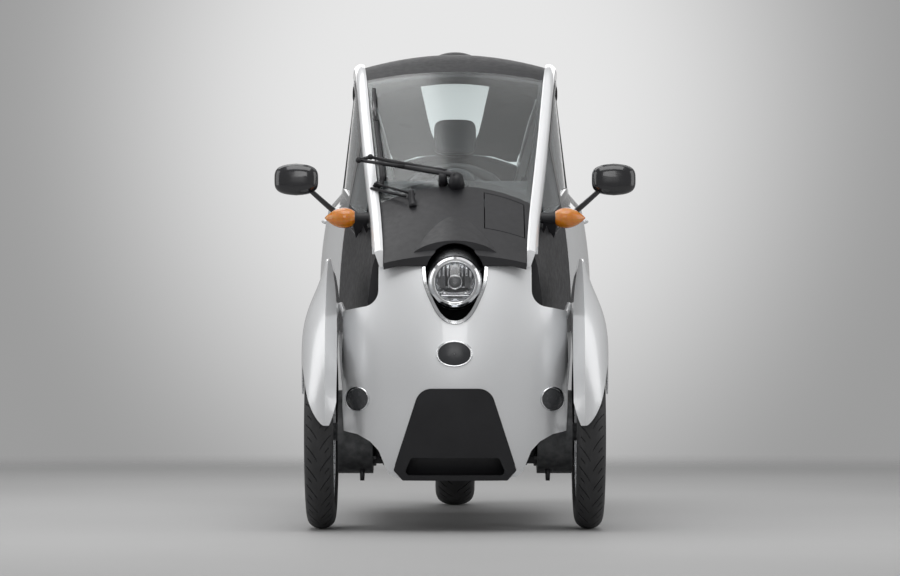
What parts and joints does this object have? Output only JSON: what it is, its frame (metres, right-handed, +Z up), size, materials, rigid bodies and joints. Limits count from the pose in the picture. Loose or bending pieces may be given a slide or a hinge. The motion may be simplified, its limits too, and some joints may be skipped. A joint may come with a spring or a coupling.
{
  "type": "three wheeled car",
  "caption": "Narrow electric three-wheeled car with tandem seats, front-hinged doors and a steered rear wheel.",
  "frame": {"origin": "on the ground, under the middle of the car's length and width", "axes": "+X to the right of someone who faces the front, +Y towards the tail, +Z up; the front faces -Y"},
  "size_m": [1.038, 2.35, 1.4329],
  "materials": {
    "white_paint": "pearl gloss paint",
    "satin_black": "satin moulded plastic",
    "gloss_black": "gloss black",
    "satin_grey": "satin grey",
    "bright_trim": "bright plating",
    "grey_lens": "dark grey lens",
    "clear_glass": "clear",
    "tinted_glass": "light tint",
    "amber_lens": "amber moulded lens",
    "red_lens": "red moulded lens",
    "chassis_black": "textured tub",
    "battery_case": "painted case",
    "dash_plastic": "grained moulding",
    "wheel_rubber": "soft grip",
    "seat_fabric": "woven cloth",
    "chassis_steel": "black paint",
    "cast_alloy": "dark cast",
    "wheel_alloy": "silver paint",
    "tyre_rubber": "road rubber"
  },
  "bodies": {
    "body": {"nose_panel": "white_paint", "lower_intake": "satin_black", "shield_trim": "bright_trim", "round_lamp_covers": "grey_lens", "headlamp_housing": "satin_grey", "headlamp_ring": "bright_trim", "headlamp_lens": "clear_glass", "cowl_panel": "satin_black", "windscreen": "tinted_glass", "roof_panel": "gloss_black", "rear_window": "tinted_glass", "tail_deck": "gloss_black", "roof_hoops": "white_paint", "side_recess_panels": "satin_black", "side_glasses": "tinted_glass", "rear_quarters": "white_paint", "tail_panel": "satin_black", "tail_lamps": "red_lens", "floor_tub": "chassis_black", "battery_block": "battery_case", "dashboard": "dash_plastic", "steering_column": "dash_plastic", "front_seat": "seat_fabric", "rear_seat": "seat_fabric", "mirrors_and_stalks": "satin_black", "turn_signal_lenses": "amber_lens", "wiper": "satin_black", "front_suspension": "chassis_steel", "front_knuckles": "cast_alloy", "front_fenders": "white_paint", "rear_frame": "chassis_steel", "plate_holder": "satin_black"},
    "front_wheel_left": {"front_tyre_left": "tyre_rubber", "front_rim_left": "wheel_alloy"},
    "front_wheel_right": {"front_tyre_right": "tyre_rubber", "front_rim_right": "wheel_alloy"},
    "rear_steer": {"rear_fork": "cast_alloy"},
    "rear_wheel": {"rear_tyre": "tyre_rubber", "rear_rim": "wheel_alloy"},
    "door_left": {"door_panel_left": "white_paint", "door_glass_left": "tinted_glass"},
    "door_right": {"door_panel_right": "white_paint", "door_glass_right": "tinted_glass"},
    "hand_wheel": {"steering_wheel": "wheel_rubber"},
    "charge_lid": {"charge_lid": "satin_black"}
  },
  "joints": [
    {"name": "front_wheel_left_spin", "type": "hinge", "parent": "body", "child": "front_wheel_left", "pos_m": [-0.3785, -0.87, 0.275], "axis": [1, 0, 0], "continuous": true},
    {"name": "front_wheel_right_spin", "type": "hinge", "parent": "body", "child": "front_wheel_right", "pos_m": [0.3785, -0.87, 0.275], "axis": [1, 0, 0], "continuous": true},
    {"name": "rear_steer_turn", "type": "hinge", "parent": "body", "child": "rear_steer", "pos_m": [0, 0.83, 0.54], "axis": [0, 0, 1], "range_deg": [-26, 26]},
    {"name": "rear_wheel_spin", "type": "hinge", "parent": "rear_steer", "child": "rear_wheel", "pos_m": [0, 0.83, 0.238], "axis": [1, 0, 0], "continuous": true},
    {"name": "door_left_swing", "type": "hinge", "parent": "body", "child": "door_left", "pos_m": [-0.344, -0.5365, 0.7], "axis": [0, 0, 1], "range_deg": [0, 62]},
    {"name": "door_right_swing", "type": "hinge", "parent": "body", "child": "door_right", "pos_m": [0.344, -0.5365, 0.7], "axis": [0, 0, -1], "range_deg": [0, 62]},
    {"name": "hand_wheel_turn", "type": "hinge", "parent": "body", "child": "hand_wheel", "pos_m": [0, -0.35, 0.905], "axis": [0, 0.8829, 0.4695], "range_deg": [-208, 208]},
    {"name": "charge_lid_lift", "type": "hinge", "parent": "body", "child": "charge_lid", "pos_m": [0.14, -0.968, 0.85], "axis": [1, 0, 0], "range_deg": [0, 70]}
  ],
  "couplings": [
    {"joint": "hand_wheel_turn", "follows": "rear_steer_turn", "ratio": -8}
  ]
}
